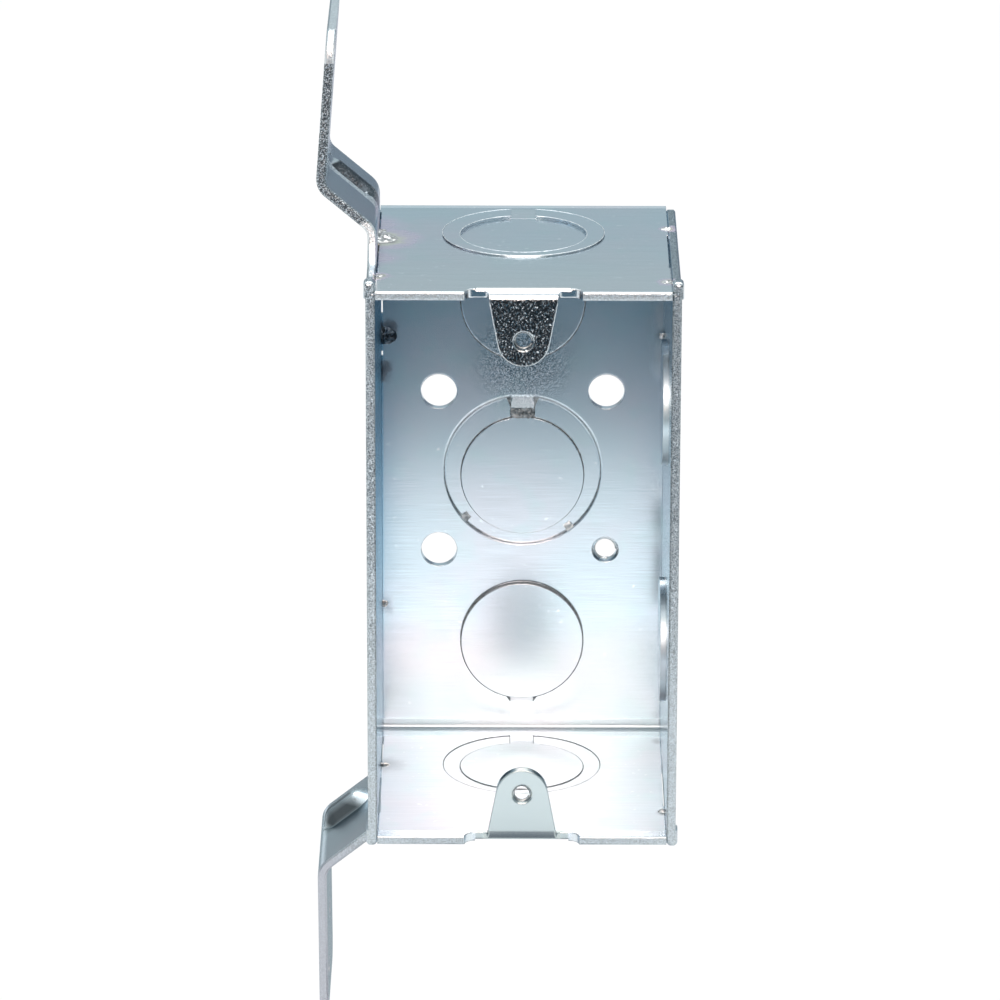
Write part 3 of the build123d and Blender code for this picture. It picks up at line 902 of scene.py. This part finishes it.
def add_torn_patch(bm, wall):
    """Ragged break across the foot of the middle knockout's tab."""
    columns, rows = 20, 10
    near, far, near_level, far_level = 10.0, 11.6, 0.20, 0.80
    loops = []
    for column in range(columns + 1):
        x = TAB_HALF_MM * (2 * column / columns - 1)
        face, foot = [], []
        for row in range(rows + 1):
            share = row / rows
            y = near + (far - near) * share + 0.25 * noise.noise(Vector((2.5 * x, 3.0, 0.0)))
            level = near_level + (far_level - near_level) * share
            rise = 0.16 * noise.noise(Vector((2.2 * x, 3.1 * y, 1.0)))
            face.append(wall @ Vector((x, y, level - 0.12 + rise)))
            foot.append(wall @ Vector((x, y, level + 0.30)))
        loops.append(face + foot[::-1])
    skin_loops(bm, loops)


def add_tie(bm, wall, angle):
    """Small ramp of torn metal that still holds the ring to its wall."""
    turned = wall @ Matrix.Rotation(math.radians(angle), 4, "Z")
    outer, inner, half_width = 14.5, 12.8, 0.70
    top, foot = -0.02, 0.86
    loops = []
    for y in (-half_width, half_width):
        corners = ((outer, y, top), (inner, y, foot), (outer, y, foot))
        loops.append([turned @ Vector(corner) for corner in corners])
    skin_loops(bm, loops)


def make_ties():
    wall = wall_frame((0, BACK_INNER_MM, PATTERN_RISE_MM), BEHIND, ABOVE)
    bm = bmesh.new()
    for angle in TIE_ANGLES:
        add_tie(bm, wall, angle)
    torn = ragged_material("ring_ties", TORN_PALE, SPECK_PALE, 0.3)
    finish_piece("ring_ties", bm, torn, False)


def make_tab_tears_and_shadows():
    """Torn metal across the foot of the middle tab, and dark plates on both sides of the middle and lower
    tabs that are painted shadows beside the tabs.
    """
    wall = wall_frame((0, BACK_INNER_MM, PATTERN_RISE_MM), BEHIND, ABOVE)
    low_wall = wall_frame((0, BACK_INNER_MM, PATTERN_RISE_MM - SINGLE_PITCH_MM), BEHIND, BELOW)
    bm = bmesh.new()
    for side in (-1, 1):
        for tab_wall, shadow_corners, levels in (
            (wall, MIDDLE_TAB_SHADOWS_MM, MIDDLE_TAB_SHADOW_LEVELS_MM), (low_wall, LOW_TAB_SHADOWS_MM, LOW_TAB_SHADOW_LEVELS_MM),
        ):
            corners = [(side * (TAB_HALF_MM + x), y) for x, y in shadow_corners]
            add_plate(bm, tab_wall, corners, *levels)
    add_torn_patch(bm, wall)
    # The plates beside the tabs are painted shadows; the patch across the middle tab's foot is torn metal
    torn = ragged_material("tab_tears", TORN_AND_SHADE_DARK, TORN_PALE, 0.5)
    finish_piece("tab_tears", bm, torn, False)


def add_splash(bm, place, out, reach, height):
    """Low ragged dome of molten metal, sunk into the sheet at its border."""
    rings, sides = 12, 40
    turn = Vector(out).to_track_quat("Z", "Y").to_matrix()
    seed = Vector(place)
    loops = []
    for ring in range(1, rings + 1):
        share = ring / rings
        loop = []
        for side in range(sides):
            angle = 2 * math.pi * side / sides
            way = Vector((math.cos(angle), math.sin(angle), 0.0))
            spread = reach * share * (1.0 + 0.35 * noise.noise(way * 1.3 + seed))
            lump = 0.5 + 2.0 * abs(noise.noise(way * spread * 0.9 + seed))
            rise = height * lump * (1.0 - share * share) - 0.06 * share
            point = seed + turn @ (way * spread + Vector((0.0, 0.0, rise)))
            point.x = max(-SPLASH_END_MM, min(SPLASH_END_MM, point.x))
            loop.append(point)
        loops.append(loop)
    skin_loops(bm, loops)


def make_weld_splashes():
    bm = bmesh.new()
    for place, out, reach, height in SPLASHES_MM:
        add_splash(bm, place, out, reach, height)
    weld_metal = ragged_material("weld_metal", WELD_DULL, WELD_PALE, 0.30)
    finish_piece("weld_splashes", bm, weld_metal)
    bm = bmesh.new()
    add_splash(bm, *NUGGET_MM)
    nugget_metal = ragged_material("weld_nugget", NUGGET_DARK, NUGGET_PALE, 0.25)
    finish_piece("weld_nugget", bm, nugget_metal)


def add_thread(bm, centre, radius, length):
    """Thread ridge winding along Y inside a tapped hole."""
    steps_per_turn = 40
    steps = int(steps_per_turn * length / SCREW_PITCH_MM)
    root = radius + THREAD_ROOT_MM
    section = ((root, -THREAD_FOOT_MM), (radius - THREAD_DEPTH_MM, 0.0), (root, THREAD_FOOT_MM))
    loops = []
    for step in range(steps + 1):
        turn = 2 * math.pi * step / steps_per_turn
        way = Vector((math.cos(turn), 0.0, math.sin(turn)))
        along = SCREW_PITCH_MM * step / steps_per_turn
        loops.append([
            Vector(centre) + way * reach + Vector((0.0, along + shift, 0.0))
            for reach, shift in section
        ])
    skin_loops(bm, loops)


def make_threads():
    bm = bmesh.new()
    for way in (-1, 1):
        centre = (0.0, EAR_THREAD_START_MM, way * DEVICE_HOLE_Z_MM)
        add_thread(bm, centre, DEVICE_HOLE_RADIUS_MM, EAR_THREAD_LENGTH_MM)
    ground_x, ground_z = GROUND_HOLE_MM
    centre = (ground_x, BACK_INNER_MM + GROUND_THREAD_START_MM, ground_z)
    add_thread(bm, centre, GROUND_HOLE_RADIUS_MM, GROUND_THREAD_LENGTH_MM)
    thread_zinc = ragged_material("thread_zinc", EDGE_SOFT, SPECK_PALE, 0.3)
    finish_piece("screw_threads", bm, thread_zinc)


for spare in ("Cube", "Light", "Camera"):
    if spare in bpy.data.objects:
        bpy.data.objects.remove(bpy.data.objects[spare])

make_camera()
make_studio()
dress_nodes()
make_shear_burrs()
make_tab_tears_and_shadows()
make_ties()
make_weld_splashes()
make_threads()

bpy.context.scene.view_settings.view_transform = "Standard"
